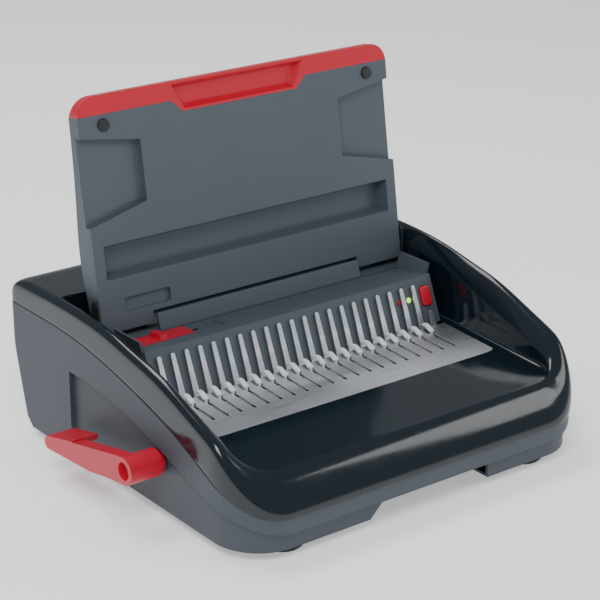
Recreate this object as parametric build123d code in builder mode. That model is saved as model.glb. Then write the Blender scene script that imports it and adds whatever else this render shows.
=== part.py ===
from build123d import *
import os
from math import cos, radians, sin

# Electric comb binding machine with its lid open.
# Machine frame: X to the user's right from the middle of the machine, Y to the rear from the row of
# finger tips, Z up from the table. Each finished piece is moved by TO_ROW when it is written, so that
# the origin is the middle of the overall box, on the table.

os.makedirs("parts", exist_ok=True)

# ---- driving dimensions (mm) ---------------------------------------------------------------
HALF_W = 193.0                # half width of the housing and the cover
FRONT_Y = -188.0              # front of the cover
REAR_Y = 186.0                # rear of the cover
FRONT_R = 50.0                # plan radius of the front corners
REAR_R = 12.0                 # plan radius of the rear corners
WALL = 3.0                    # moulded wall
BASE_Z = 8.0                  # underside of the housing
PLATE_T = 3.0                 # base plate and frame plates
FOOT_R = 19.0                 # round rubber feet
FOOT_X = 135.0
FOOT_FRONT_Y = -156.0
FOOT_REAR_Y = 125.0
INSET = 4.5                   # set-back of the skirt below its crease
SKIRT_END_Y = 80.0            # where the set-back skirt ends
NOTCH_X = (-61.0, 71.0)       # cut-out under the front edge
NOTCH_H = 13.0

PITCH = 14.2875               # comb pitch, 9/16 inch
RINGS = 21                    # holes punched and hooks
FINGERS = RINGS + 1
TIP_Z = 118.0                 # height of the finger tips
FACE_RUN = 0.42               # forward run of the finger row per mm down
FINGER_W = 4.2                # at the tip
FINGER_BASE_W = 6.2
FINGER_T = 1.5
SPINE_GAP = 1.6               # room behind the fingers
SHORT_FINGER = 27.0           # the last finger ends this much lower along the row

TRAY_Z = 80.4                 # tray surface at Y = 0
TRAY_DROP = 0.05              # fall of the tray per mm towards the front
TRAY_FRONT_Y = -90.0
TRAY_REAR_Y = -17.6
TRAY_T = 1.2
LEDGE = 4.0                   # floor ledge that carries the tray
WELL_HALF = 171.0             # half width of the well at its floor
TRAY_HALF = WELL_HALF - 10.0
WELL_FRONT_Y = -165.0
WELL_REAR_Y = 99.0
WELL_DRAFT = 5.0              # degrees
WELL_R = 26.0
RAIL_IN_X = WELL_HALF + 1.0   # the rails slope up from here
RAIL_TOP_X = HALF_W - 6.5     # to here

GAP = 0.4                     # clearance round sliding pieces
RUN = 0.05                    # radial clearance of shafts and pins
SEAT = 0.2                    # clearance round seated pieces

PANEL_HALF = TRAY_HALF
PANEL_Y = 4.8                 # front crease of the control panel
PANEL_Z = 122.5
PANEL_FALL = 0.1              # fall of its top per mm towards the rear
PANEL_REAR_Y = 44.6
PANEL_T = 2.5
CHEEK_H = 9.0
CHEEK_FLARE = 6.0
SLOT_W = 5.6                  # paper slot mouth
SHELF_Z = 117.0
SHELF_HALF = WELL_HALF + 2.0
UPSTAND_HALF = 114.0
UPSTAND_T = 4.0
UPSTAND_H = 14.5

BUTTON = (11.5, 19.0)         # width and length along the panel face
BUTTON_X = (FINGERS - 1) / 2 * PITCH      # over the short finger
LAMP_X = (BUTTON_X - 32.2, BUTTON_X - 20.5)
CONTROL_Z = 106.0             # height of button and lamps
LAMP_R = 2.5
BUTTON_TRAVEL = 1.8
BOARD_DEPTH = 14.0            # board behind the panel face

SLIDER_LENGTH = 58.0
SLIDER_Y = (22.0, 43.0)
SLIDER_X = -155.5             # left end at rest
SLIDER_TRAVEL = 33.0
SLIDER_RECESS = 1.2

LID_HALF = WELL_HALF - 1.0
LID_Z = (123.0, 330.0)
LID_Y = 57.9                  # front face at the bottom edge
LID_LEAN = 0.15               # rearward run of the face per mm up
LID_R = 18.0
LID_NOTCH_H = 11.0
TRIM_Z = 313.5                # red trim above this height
GRIP_Z = 302.7                # bottom of the grip scoop
GRIP_HALF = (63.0, 75.0)
BUMPER_X = 145.2
BUMPER_Z = 304.3
BUMPER_R = 5.5
GROOVE_HALF = 159.0
GROOVE_Z = (170.0, 200.4)
GROOVE_DEPTH = 14.0
POCKET_X = 109.5
POCKET_DEPTH = 7.0
HINGE_Y = 65.0
HINGE_Z = 148.0
HINGE_PIN_R = 2.6
HINGE_EAR_R = 5.5
EAR_X = (WELL_HALF, WELL_HALF + 1.9)

LEVER_Y = -59.0               # axis of the ring lever
LEVER_Z = 54.0
LEVER_X = -HALF_W - 33.0      # outer face of the lever
LEVER_HUB_R = 12.5
LEVER_ARM_T = 12.0
LEVER_ROOT_X = -HALF_W - 1.5  # inner end of the full hub
SHAFT_R = 5.0
BUSH_R = SHAFT_R + 3.0
PINION_R = 13.5
HOOK_W = 4.6
HOOK_NECK_W = 2.2
BEARING_X = (146.0, 152.0)    # faces of the lever shaft's bearings
BAR_Z = (69.6, 71.4)
RACK_X = 120.0

PUNCH_Z = 102.5
PUNCH_LONG = 8.0              # punched hole along X
PUNCH_HIGH = 2.9
STROKE = 8.0
DIE_Y = (36.0, 46.0)
GUIDE_Y = (48.4, 58.0)
BLOCK_Z = (94.0, 111.5)
FRAME_X = (RINGS - 1) / 2 * PITCH + 7.125  # inner faces of the punch frame's sides
CAM_Z = 80.0
CAM_R = 10.0
CAM_GAP = 1.5
CAM_SHAFT_R = 4.0
CAM_X = (-100.0, 40.0)
SHAFT_END = 2.0               # shaft ends beyond their bearings
GEAR_R = 30.0
MOTOR_PINION_R = 7.5
MOTOR_R = 22.0
MOTOR_LENGTH = 90.0
GEAR_X = (FRAME_X + 6.0, FRAME_X + 13.0)

DRAWER_REAR_X = -145.0        # inner end of the drawer
DRAWER_Y = (2.0, 70.0)
DRAWER_Z = (13.0, 46.0)
DRAWER_WALL = 2.0

MID_X = (HALF_W + LEVER_X) / 2
MID_Y = (FRONT_Y + REAR_Y) / 2
TO_ROW = Location((-MID_X, -MID_Y, 0))

# ---- outlines (Y, Z), rear to front ----------------------------------------------------------
JOINT = [(REAR_Y, 124.5), (116, 124), (64, 121.5), (15, 114), (-30, 104), (-81, 89), (-125, 71),
         (-155, 56), (-178, 42), (FRONT_Y - 2, 38)]           # housing to cover
CREST = [(WELL_REAR_Y + 2, 149.8), (60, 149), (20, 145.6), (-21, 138), (-61, 129.5), (-105, 114),
         (-140, 100.5), (-165, 88), (-180, 74), (FRONT_Y, 55), (FRONT_Y - 3, 42)]
SILL = [(WELL_REAR_Y + 2, 137.5), (66, 135.6), (25, 130.7), (-7, 125.5), (-33, 118.6), (-80, 105),
        (-121, 92.7), (-150, 80.5), (WELL_FRONT_Y, 72.9), (-178, 62), (-186, 49), (FRONT_Y - 3, 38)]
CREASE = [(SKIRT_END_Y, 88), (40, 87), (-4, 81), (-60, 67), (-125, 49), (-160, 37), (-187, 23)]


def save(piece, label):
    """Label a finished piece, move it to the row frame and write it."""
    solid = piece.part.moved(TO_ROW)
    solid.label = label
    export_step(solid, f"parts/{label}.step")


def tray_z(y):
    return TRAY_Z + TRAY_DROP * y


def face_y(z):
    """Y of the front faces of the fingers at height z."""
    return FACE_RUN * (z - TIP_Z)


def finger_x(index):
    return (index - (FINGERS - 1) / 2) * PITCH


def ring_x(index):
    return (index - (RINGS - 1) / 2) * PITCH


def lowered(curve, amount):
    return [(y, z - amount) for y, z in curve]


def plan(half, front, rear, front_r, rear_r, plane=Plane.XY):
    """Plan outline with rounded front and rear corners."""
    with BuildSketch(plane) as outline:
        with Locations((0, (front + rear) / 2)):
            Rectangle(2 * half, rear - front)
        fillet(outline.vertices().group_by(Axis.Y)[0], front_r)
        fillet(outline.vertices().group_by(Axis.Y)[-1], rear_r)
    return outline.sketch


def side(points, x=0.0):
    """Closed outline of (Y, Z) points in the plane at x."""
    with BuildSketch(Plane.YZ.offset(x)) as outline:
        with BuildLine():
            Polyline(*points, close=True)
        make_face()
    return outline.sketch


def under(curve, floor_z, x=0.0):
    """Region under a smooth curve of (Y, Z) points, in the plane at x."""
    with BuildSketch(Plane.YZ.offset(x)) as region:
        with BuildLine():
            top = Spline(*curve)
            Polyline(top @ 1, ((top @ 1).X, floor_z), ((top @ 0).X, floor_z), top @ 0)
        make_face()
    return region.sketch


def over(curve, x, ceiling_z=200.0):
    """Region over a smooth curve of (Y, Z) points, in the plane at x."""
    with BuildSketch(Plane.YZ.offset(x)) as region:
        with BuildLine():
            base = Spline(*curve)
            Polyline(base @ 1, ((base @ 1).X, ceiling_z), ((base @ 0).X, ceiling_z), base @ 0)
        make_face()
    return region.sketch


def block(x, y, z):
    """Plain block between pairs of X, Y and Z."""
    with BuildPart() as solid:
        with BuildSketch(Plane.XY.offset(z[0])):
            with Locations(((x[0] + x[1]) / 2, (y[0] + y[1]) / 2)):
                Rectangle(x[1] - x[0], y[1] - y[0])
        extrude(amount=z[1] - z[0])
    return solid.part


def rod(x, y, z, radius):
    """Round bar along X."""
    with BuildPart() as solid:
        with BuildSketch(Plane.YZ.offset(x[0])):
            with Locations((y, z)):
                Circle(radius)
        extrude(amount=x[1] - x[0])
    return solid.part


TRAY_PLANE = Plane(origin=(0, 0, TRAY_Z), x_dir=(1, 0, 0), z_dir=(0, -TRAY_DROP, 1))
FACE_PLANE = Plane(origin=(0, 0, TIP_Z), x_dir=(1, 0, 0), z_dir=(0, -1, FACE_RUN))
PANEL_FACE = FACE_PLANE.offset(-FINGER_T - SPINE_GAP)
FACE_SCALE = (1 + FACE_RUN ** 2) ** 0.5
LID_PLANE = Plane(origin=(0, LID_Y, LID_Z[0]), x_dir=(1, 0, 0), z_dir=(0, -1, LID_LEAN))
LID_SCALE = (1 + LID_LEAN ** 2) ** 0.5

# ---- housing ---------------------------------------------------------------------------------
REAR_LEAN = 0.2567            # forward run of the rear wall per mm down
LIP_Z = BASE_Z + 9.0
WALL_TOP = (REAR_Y, JOINT[0][1] - 6)
WALL_LOW = (REAR_Y - REAR_LEAN * (WALL_TOP[1] - LIP_Z), LIP_Z)
FLOOR_REAR_Y = WALL_LOW[0] - 9.0
REAR_PLANE = Plane(origin=(0, WALL_LOW[0] + REAR_LEAN * (60 - LIP_Z), 60), x_dir=(-1, 0, 0),
                   z_dir=(0, 1, -REAR_LEAN))
ROOM = (HALF_W - INSET - WALL, FRONT_Y + 2 + INSET + WALL)

with BuildPart() as lower_skirt:
    extrude(under(CREASE, BASE_Z, -HALF_W), amount=2 * HALF_W)
    extrude(plan(HALF_W - INSET, FRONT_Y + 2 + INSET, SKIRT_END_Y + 20, FRONT_R - INSET, 1.0), amount=120,
            mode=Mode.INTERSECT)

with BuildPart() as rear_room:
    extrude(side([(WELL_REAR_Y - 1, 0), (FLOOR_REAR_Y - WALL, 0), (FLOOR_REAR_Y - WALL, LIP_Z),
              (REAR_Y - WALL - 1, JOINT[0][1] - 8), (REAR_Y - WALL - 1, 140), (WELL_REAR_Y - 1, 140)],
             -ROOM[0]), amount=2 * ROOM[0])

with BuildPart() as notch:
    with BuildSketch(Plane.XZ.offset(-(FRONT_Y + 30))):
        with BuildLine():
            Polyline((NOTCH_X[0], BASE_Z), (NOTCH_X[0] + NOTCH_H, BASE_Z + NOTCH_H),
                     (NOTCH_X[1], BASE_Z + NOTCH_H), (NOTCH_X[1], BASE_Z), close=True)
        make_face()
    extrude(amount=40)

with BuildPart() as housing:
    extrude(under(JOINT, BASE_Z, -HALF_W), amount=2 * HALF_W)
    extrude(plan(HALF_W, FRONT_Y + 2, REAR_Y, FRONT_R, REAR_R), amount=160, mode=Mode.INTERSECT)
    extrude(side([(FLOOR_REAR_Y, BASE_Z), (WALL_LOW[0], LIP_Z), WALL_TOP, (REAR_Y + 9, WALL_TOP[1]),
              (REAR_Y + 9, BASE_Z - 1), (FLOOR_REAR_Y, BASE_Z - 1)], -HALF_W - 1),
            amount=2 * HALF_W + 2, mode=Mode.SUBTRACT)
    extrude(under(CREASE, BASE_Z - 1, -HALF_W - 1), amount=2 * HALF_W + 2, mode=Mode.SUBTRACT)
    add(lower_skirt.part)
    extrude(plan(ROOM[0], ROOM[1], WELL_REAR_Y, FRONT_R - INSET - WALL, 1.0), amount=160, mode=Mode.SUBTRACT)
    add(rear_room.part, mode=Mode.SUBTRACT)
    add(notch.part, mode=Mode.SUBTRACT)
    add(rod((-HALF_W - 1, 0), LEVER_Y, LEVER_Z, BUSH_R), mode=Mode.SUBTRACT)
    add(block((0, HALF_W + 1), (DRAWER_Y[0] - GAP, DRAWER_Y[1] + GAP),
              (DRAWER_Z[0] - GAP, DRAWER_Z[1] + GAP)), mode=Mode.SUBTRACT)
    with BuildSketch(REAR_PLANE):
        with Locations((110, 0)):
            Rectangle(30, 24)
        with Locations((60, 0)):
            Rectangle(22, 16)
    extrude(amount=-12, mode=Mode.SUBTRACT)
save(housing, "housing")

with BuildPart() as base_plate:
    extrude(plan(ROOM[0], ROOM[1], FLOOR_REAR_Y - WALL, FRONT_R - INSET - WALL, 1.0,
             Plane.XY.offset(BASE_Z)), amount=PLATE_T)
    add(notch.part, mode=Mode.SUBTRACT)
save(base_plate, "base_plate")

FEET = {"front_left": (-FOOT_X, FOOT_FRONT_Y), "front_right": (FOOT_X, FOOT_FRONT_Y),
        "rear_left": (-FOOT_X, FOOT_REAR_Y), "rear_right": (FOOT_X, FOOT_REAR_Y)}
for corner, spot in FEET.items():
    with BuildPart() as foot:
        with BuildSketch():
            with Locations(spot):
                Circle(FOOT_R)
        extrude(amount=BASE_Z)
        chamfer(foot.edges().group_by(Axis.Z)[0], 1.5)
    save(foot, f"foot_{corner}")

# ---- top cover -------------------------------------------------------------------------------
DECK = [(REAR_Y, 128), (REAR_Y - 3, 139), (REAR_Y - 18, 147), (140, 149.6)]

with BuildPart() as well_liner:
    extrude(plan(WELL_HALF + WALL, WELL_FRONT_Y - WALL, WELL_REAR_Y + WALL, WELL_R + WALL, WALL + 2,
             TRAY_PLANE.offset(-WALL)), amount=80, taper=-WELL_DRAFT)

with BuildPart() as well:
    extrude(plan(WELL_HALF, WELL_FRONT_Y, WELL_REAR_Y, WELL_R, 2.0, TRAY_PLANE),
            amount=120, taper=-WELL_DRAFT)

with BuildPart() as rail_room:
    extrude(under(lowered(SILL[:-1], 4.0), 20, -HALF_W), amount=2 * HALF_W)
    extrude(plan(HALF_W - WALL, FRONT_Y + WALL, REAR_Y, FRONT_R - WALL, REAR_R), amount=160,
            mode=Mode.INTERSECT)

with BuildPart() as deck_room:
    extrude(side([(WELL_REAR_Y + 5, 20), (REAR_Y - WALL, 20), (REAR_Y - WALL - 1, 132), (REAR_Y - 20, 142),
              (140, 146.4), (WELL_REAR_Y + 5, 146.4)], -HALF_W + WALL), amount=2 * (HALF_W - WALL))

with BuildPart() as rail_slope:
    loft([over(SILL, RAIL_IN_X), over(CREST, RAIL_TOP_X)], ruled=True)
    mirror(about=Plane.YZ)

with BuildPart() as rail_edge:
    loft([over(CREST, RAIL_TOP_X), over(lowered(CREST, 7.0), HALF_W + 0.5)], ruled=True)
    mirror(about=Plane.YZ)

with BuildPart() as outer_shell:
    with BuildSketch(Plane.YZ.offset(-HALF_W)):
        with BuildLine():
            rear_curve = Spline(*DECK, CREST[0], tangents=((0, 1), (-1, 0)))
            crest_curve = Spline(*CREST)
            joint_curve = Spline(*JOINT)
            Line(rear_curve @ 0, joint_curve @ 0)
            Line(crest_curve @ 1, joint_curve @ 1)
        make_face()
    extrude(amount=2 * HALF_W)
    extrude(plan(HALF_W, FRONT_Y, REAR_Y, FRONT_R, REAR_R), amount=160, mode=Mode.INTERSECT)
    add(rail_room.part, mode=Mode.SUBTRACT)
    add(deck_room.part, mode=Mode.SUBTRACT)

with BuildPart() as top_cover:
    add(well_liner.part)
    extrude(under([(REAR_Y, 149.8), (110, 149.8), *CREST], 20, -HALF_W), amount=2 * HALF_W,
            mode=Mode.INTERSECT)
    add(outer_shell.part)
    extrude(over(SILL, -RAIL_IN_X), amount=2 * RAIL_IN_X, mode=Mode.SUBTRACT)
    add(rail_slope.part, mode=Mode.SUBTRACT)
    add(rail_edge.part, mode=Mode.SUBTRACT)
    add(well.part, mode=Mode.SUBTRACT)
    # pocket for the tray, and the opening over the works
    with BuildSketch(TRAY_PLANE):
        with Locations((0, (TRAY_FRONT_Y + TRAY_REAR_Y) / 2)):
            Rectangle(2 * (TRAY_HALF + SEAT), TRAY_REAR_Y - TRAY_FRONT_Y + 2 * SEAT)
    extrude(amount=-TRAY_T, mode=Mode.SUBTRACT)
    add(block((-TRAY_HALF + LEDGE, TRAY_HALF - LEDGE), (TRAY_FRONT_Y + LEDGE, WELL_REAR_Y + 20),
              (60, SHELF_Z - WALL)), mode=Mode.SUBTRACT)
    add(block((-HALF_W + 8, HALF_W - 8), (SLOT_W + PANEL_REAR_Y, WELL_REAR_Y + 20),
              (60, SHELF_Z - WALL)), mode=Mode.SUBTRACT)
save(top_cover, "top_cover")

with BuildPart() as shelf:
    add(block((-SHELF_HALF, SHELF_HALF), (PANEL_REAR_Y + SLOT_W, WELL_REAR_Y), (SHELF_Z - WALL, SHELF_Z)))
    fillet(shelf.edges().filter_by(Axis.Z).group_by(Axis.Y)[-1], 4.0)
save(shelf, "shelf")

UPSTAND_Y = PANEL_REAR_Y + SLOT_W + 0.6
with BuildPart() as upstand:
    run = UPSTAND_H * 0.35
    extrude(side([(UPSTAND_Y, SHELF_Z), (UPSTAND_Y + run, SHELF_Z + UPSTAND_H),
              (UPSTAND_Y + run + UPSTAND_T, SHELF_Z + UPSTAND_H), (UPSTAND_Y + UPSTAND_T, SHELF_Z)],
             -UPSTAND_HALF), amount=2 * UPSTAND_HALF)
    fillet(upstand.edges().filter_by(Axis.X).group_by(Axis.Z)[-1], 1.2)
save(upstand, "upstand")

# ---- tray and finger comb --------------------------------------------------------------------
WIDE_SLIT = (7.0, 13.0)
NARROW_SLIT = (3.0, 34.0)
SLIT_Y = -31.0
with BuildPart() as tray:
    with BuildSketch(TRAY_PLANE) as tray_outline:
        with Locations((0, (TRAY_FRONT_Y + TRAY_REAR_Y) / 2)):
            Rectangle(2 * TRAY_HALF, TRAY_REAR_Y - TRAY_FRONT_Y)
        fillet(tray_outline.vertices().group_by(Axis.Y)[0], 5.0)
        for index in range(RINGS):
            with Locations((finger_x(index), SLIT_Y + WIDE_SLIT[1] / 2)):
                RectangleRounded(*WIDE_SLIT, 1.0, mode=Mode.SUBTRACT)
            with Locations((finger_x(index), SLIT_Y + 2 - NARROW_SLIT[1] / 2)):
                RectangleRounded(*NARROW_SLIT, 1.4, mode=Mode.SUBTRACT)
    extrude(amount=-TRAY_T)
save(tray, "tray")

ROW_DEPTH = (TIP_Z - tray_z(TRAY_REAR_Y)) * FACE_SCALE       # finger tip to tray, along the row
with BuildPart() as finger_comb:
    with BuildSketch(FACE_PLANE):
        for index in range(FINGERS):
            drop = SHORT_FINGER if index == FINGERS - 1 else 0.0
            x = finger_x(index)
            with BuildLine():
                left = Line((x - FINGER_BASE_W / 2, -ROW_DEPTH - 1), (x - FINGER_W / 2, -drop - 2))
                tip = ThreePointArc(left @ 1, (x, -drop), (x + FINGER_W / 2, -drop - 2))
                right = Line(tip @ 1, (x + FINGER_BASE_W / 2, -ROW_DEPTH - 1))
                Line(right @ 1, left @ 0)
            make_face()
        with Locations((0, -ROW_DEPTH - 4)):
            Rectangle(2 * (finger_x(FINGERS - 1) + FINGER_BASE_W / 2), 6.0)
    extrude(amount=-FINGER_T)
    with BuildSketch(FACE_PLANE.offset(-FINGER_T)):
        with Locations((0, -ROW_DEPTH - 5)):
            Rectangle(2 * (finger_x(FINGERS - 1) + FINGER_BASE_W / 2), 4.0)
    extrude(amount=-SPINE_GAP)
save(finger_comb, "finger_comb")

# ---- control panel ---------------------------------------------------------------------------
def panel_z(y):
    return PANEL_Z - PANEL_FALL * (y - PANEL_Y)


FACE_OFFSET_Y = (FINGER_T + SPINE_GAP) * FACE_SCALE
FOOT_Z = tray_z(TRAY_REAR_Y)
CREASE_Y = face_y(PANEL_Z) + FACE_OFFSET_Y
INNER_HALF = TRAY_HALF - LEDGE - SEAT


def panel_face_y(z):
    return face_y(z) + FACE_OFFSET_Y


# where the panel's face meets the floor of the well
foot_y = (FACE_RUN * (TRAY_Z - TIP_Z) + FACE_OFFSET_Y) / (1 - FACE_RUN * TRAY_DROP)
TOP_PLANE = Plane(origin=(0, CREASE_Y, PANEL_Z), x_dir=(1, 0, 0), z_dir=(0, PANEL_FALL, 1))
CONTROL_DROP = -(TIP_Z - CONTROL_Z) * FACE_SCALE
skin = PANEL_T * FACE_SCALE
with BuildPart() as panel:
    extrude(side([(panel_face_y(FOOT_Z - 9), FOOT_Z - 9), (CREASE_Y, PANEL_Z),
              (PANEL_REAR_Y, panel_z(PANEL_REAR_Y)), (PANEL_REAR_Y, BLOCK_Z[1] + 0.5),
              (PANEL_REAR_Y - PANEL_T, BLOCK_Z[1] + 0.5),
              (PANEL_REAR_Y - PANEL_T, panel_z(PANEL_REAR_Y) - PANEL_T),
              (CREASE_Y + skin - 1, PANEL_Z - PANEL_T - 0.3), (panel_face_y(FOOT_Z - 9) + skin, FOOT_Z - 9)],
             -INNER_HALF), amount=2 * INNER_HALF)
    for hand in (-1, 1):
        edges_x = sorted((hand * (INNER_HALF - 2), hand * PANEL_HALF))
        extrude(side([(foot_y, tray_z(foot_y)), (CREASE_Y, PANEL_Z), (PANEL_REAR_Y, panel_z(PANEL_REAR_Y)),
                  (PANEL_REAR_Y, tray_z(PANEL_REAR_Y))], edges_x[0]), amount=edges_x[1] - edges_x[0])
        with BuildSketch(Plane.XZ.offset(-PANEL_REAR_Y - 5)):
            with BuildLine():
                Polyline((hand * (PANEL_HALF - 5), PANEL_Z - 5), (hand * (PANEL_HALF - 5 + CHEEK_FLARE),
                         PANEL_Z + CHEEK_H), (hand * (PANEL_HALF + 3), PANEL_Z + CHEEK_H),
                         (hand * PANEL_HALF, PANEL_Z - 5), close=True)
            make_face()
        extrude(amount=PANEL_REAR_Y - PANEL_Y + 1)
    # recess and slot of the slider
    recess_x = (SLIDER_X - GAP, SLIDER_X + SLIDER_LENGTH + SLIDER_TRAVEL + GAP)
    recess_y = (SLIDER_Y[0] - GAP - CREASE_Y, SLIDER_Y[1] + GAP - CREASE_Y)
    with BuildSketch(TOP_PLANE):
        with Locations(((recess_x[0] + recess_x[1]) / 2, (recess_y[0] + recess_y[1]) / 2)):
            RectangleRounded(recess_x[1] - recess_x[0], recess_y[1] - recess_y[0], 2.0)
    extrude(amount=-SLIDER_RECESS, mode=Mode.SUBTRACT)
    with BuildSketch(TOP_PLANE):
        with Locations((SLIDER_X + SLIDER_LENGTH / 2 + SLIDER_TRAVEL / 2, (recess_y[0] + recess_y[1]) / 2)):
            Rectangle(SLIDER_TRAVEL + 12 + 2 * GAP, 5 + 2 * GAP)
    extrude(amount=-PANEL_T - 1, mode=Mode.SUBTRACT)
    # openings for the button and the lamps
    with BuildSketch(PANEL_FACE.offset(1)):
        with Locations((BUTTON_X, CONTROL_DROP)):
            RectangleRounded(BUTTON[0] + 2 * GAP, BUTTON[1] + 2 * GAP, 3.5)
        for x in LAMP_X:
            with Locations((x, CONTROL_DROP)):
                Circle(LAMP_R)
    extrude(amount=-PANEL_T - 4, mode=Mode.SUBTRACT)
    # posts of the lamp board
    with BuildSketch(PANEL_FACE.offset(-PANEL_T)):
        for x in (LAMP_X[0] - 7, LAMP_X[1] + 7):
            for drop in (CONTROL_DROP - 9, CONTROL_DROP + 9):
                with Locations((x, drop)):
                    Circle(2.0)
    extrude(amount=-(BOARD_DEPTH - PANEL_T))
save(panel, "panel")

with BuildPart() as lamp_board:
    with BuildSketch(PANEL_FACE.offset(-BOARD_DEPTH)):
        with Locations(((LAMP_X[0] - 11 + INNER_HALF - 3) / 2, CONTROL_DROP)):
            Rectangle(INNER_HALF - 3 - LAMP_X[0] + 11, 24)
    extrude(amount=-1.6)
save(lamp_board, "lamp_board")

for label, x in zip(("lamp_fault", "lamp_ready"), LAMP_X):
    with BuildPart() as lamp:
        with BuildSketch(PANEL_FACE.offset(-BOARD_DEPTH)):
            with Locations((x, CONTROL_DROP)):
                Circle(LAMP_R)
        extrude(amount=BOARD_DEPTH + 1.0)
        fillet(lamp.edges().group_by(Axis.Y)[0], 0.9)
    save(lamp, label)

with BuildPart() as punch_button:
    with BuildSketch(PANEL_FACE.offset(2.4)):
        with Locations((BUTTON_X, CONTROL_DROP)):
            RectangleRounded(*BUTTON, 3.2)
    extrude(amount=-(2.4 + PANEL_T + 0.5))
    fillet(punch_button.faces().sort_by(Axis.Y)[0].edges(), 1.4)
    with BuildSketch(PANEL_FACE.offset(-PANEL_T - 0.5)):
        with Locations((BUTTON_X - 1, CONTROL_DROP)):
            Rectangle(BUTTON[0] - 1, BUTTON[1] + 4)
    extrude(amount=-1.5)
save(punch_button, "punch_button")

with BuildPart() as micro_switch:
    with BuildSketch(PANEL_FACE.offset(-BOARD_DEPTH)):
        with Locations((BUTTON_X - 2, CONTROL_DROP)):
            Rectangle(7, 13)
    extrude(amount=BOARD_DEPTH - PANEL_T - 2.0 - BUTTON_TRAVEL - GAP)
save(micro_switch, "micro_switch")

slider_mid_y = (SLIDER_Y[0] + SLIDER_Y[1]) / 2 - CREASE_Y
with BuildPart() as margin_slider:
    with BuildSketch(TOP_PLANE.offset(-SLIDER_RECESS + GAP)):
        with Locations((SLIDER_X + SLIDER_LENGTH / 2, slider_mid_y)):
            RectangleRounded(SLIDER_LENGTH, SLIDER_Y[1] - SLIDER_Y[0], 1.5)
    extrude(amount=1.8)
    with BuildSketch(TOP_PLANE.offset(-SLIDER_RECESS + GAP + 1.8)):
        with Locations((SLIDER_X + 3, slider_mid_y)):
            RectangleRounded(4, SLIDER_Y[1] - SLIDER_Y[0] - 2, 1.5)
        with Locations((SLIDER_X + 27, slider_mid_y)):
            RectangleRounded(9, SLIDER_Y[1] - SLIDER_Y[0] - 2, 2.5)
    extrude(amount=3.6, taper=12)
    with BuildSketch(TOP_PLANE.offset(-SLIDER_RECESS + GAP)):
        with Locations((SLIDER_X + SLIDER_LENGTH / 2, slider_mid_y)):
            Rectangle(12, 5)
    extrude(amount=-(PANEL_T + 0.3 - SLIDER_RECESS + 2 * GAP))
    with BuildSketch(TOP_PLANE.offset(-PANEL_T - 0.3 - GAP)):
        with Locations((SLIDER_X + SLIDER_LENGTH / 2, slider_mid_y)):
            Rectangle(14, 10)
    extrude(amount=-1.5)
save(margin_slider, "margin_slider")

# ---- lid -------------------------------------------------------------------------------------
def lid_y(z):
    return LID_Y + LID_LEAN * (z - LID_Z[0])


def up_lid(z):
    """Distance up the lid's face at height z."""
    return (z - LID_Z[0]) * LID_SCALE


LID_BACK = [(123, 15.0), (145, 19.0), (183, 24.0), (230, 20.5), (275, 16.5), (310, 15.0)]

with BuildPart() as lid_blank:
    with BuildSketch(LID_PLANE) as lid_outline:
        with Locations((0, up_lid(LID_Z[1]) / 2)):
            Rectangle(2 * LID_HALF, up_lid(LID_Z[1]))
        fillet(lid_outline.vertices().group_by(Axis.Y)[-1], LID_R)
        with Locations((0, LID_NOTCH_H / 2)):
            Rectangle(2 * (UPSTAND_HALF + 2), LID_NOTCH_H, mode=Mode.SUBTRACT)
    extrude(amount=-60)
    with BuildSketch(Plane.YZ.offset(-LID_HALF - 2)):
        with BuildLine():
            back = Spline(*[(lid_y(z) + depth, z) for z, depth in LID_BACK])
            top_rear = (lid_y(LID_Z[1]) + 9, LID_Z[1] + 3)
            Polyline(back @ 1, top_rear, (lid_y(LID_Z[1]) - 6, LID_Z[1] + 3),
                     (lid_y(LID_Z[0] - 5) - 5, LID_Z[0] - 5), (lid_y(LID_Z[0]) + 15, LID_Z[0] - 5), back @ 0)
        make_face()
    extrude(amount=2 * LID_HALF + 4, mode=Mode.INTERSECT)

with BuildPart() as trim_zone:
    with BuildSketch(LID_PLANE.offset(5)):
        with Locations((0, up_lid(TRIM_Z) + 20)):
            Rectangle(2 * LID_HALF + 10, 40)
        with BuildLine():
            Polyline((-GRIP_HALF[0], up_lid(GRIP_Z)), (GRIP_HALF[0], up_lid(GRIP_Z)),
                     (GRIP_HALF[1], up_lid(TRIM_Z) + 1), (-GRIP_HALF[1], up_lid(TRIM_Z) + 1), close=True)
        make_face()
    extrude(amount=-60)

with BuildPart() as lid_panel:
    add(lid_blank.part)
    add(trim_zone.part, mode=Mode.SUBTRACT)
    with BuildSketch(LID_PLANE):
        with Locations((0, up_lid(sum(GROOVE_Z) / 2))):
            Rectangle(2 * GROOVE_HALF, (GROOVE_Z[1] - GROOVE_Z[0]) * LID_SCALE)
    extrude(amount=-GROOVE_DEPTH, taper=16, mode=Mode.SUBTRACT)
    for hand in (-1, 1):
        with BuildSketch(LID_PLANE):
            with BuildLine():
                Polyline((hand * POCKET_X, up_lid(286)), (hand * POCKET_X, up_lid(232)),
                         (hand * (LID_HALF + 2), up_lid(217.5)), (hand * (LID_HALF + 2), up_lid(296)),
                         close=True)
            make_face()
        extrude(amount=-POCKET_DEPTH, mode=Mode.SUBTRACT)
    with BuildSketch(LID_PLANE):
        with Locations((-120, up_lid(145))):
            RectangleRounded(48, 13, 3.0)
    extrude(amount=-3.0, mode=Mode.SUBTRACT)
    with BuildSketch(LID_PLANE):
        for x in (-BUMPER_X, BUMPER_X):
            with Locations((x, up_lid(BUMPER_Z))):
                Circle(BUMPER_R)
    extrude(amount=-3.0, mode=Mode.SUBTRACT)
    for hand in (-1, 1):
        add(rod(sorted((hand * (LID_HALF - 12), hand * (LID_HALF + 1))), HINGE_Y, HINGE_Z, HINGE_PIN_R),
            mode=Mode.SUBTRACT)
save(lid_panel, "lid_panel")

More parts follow.
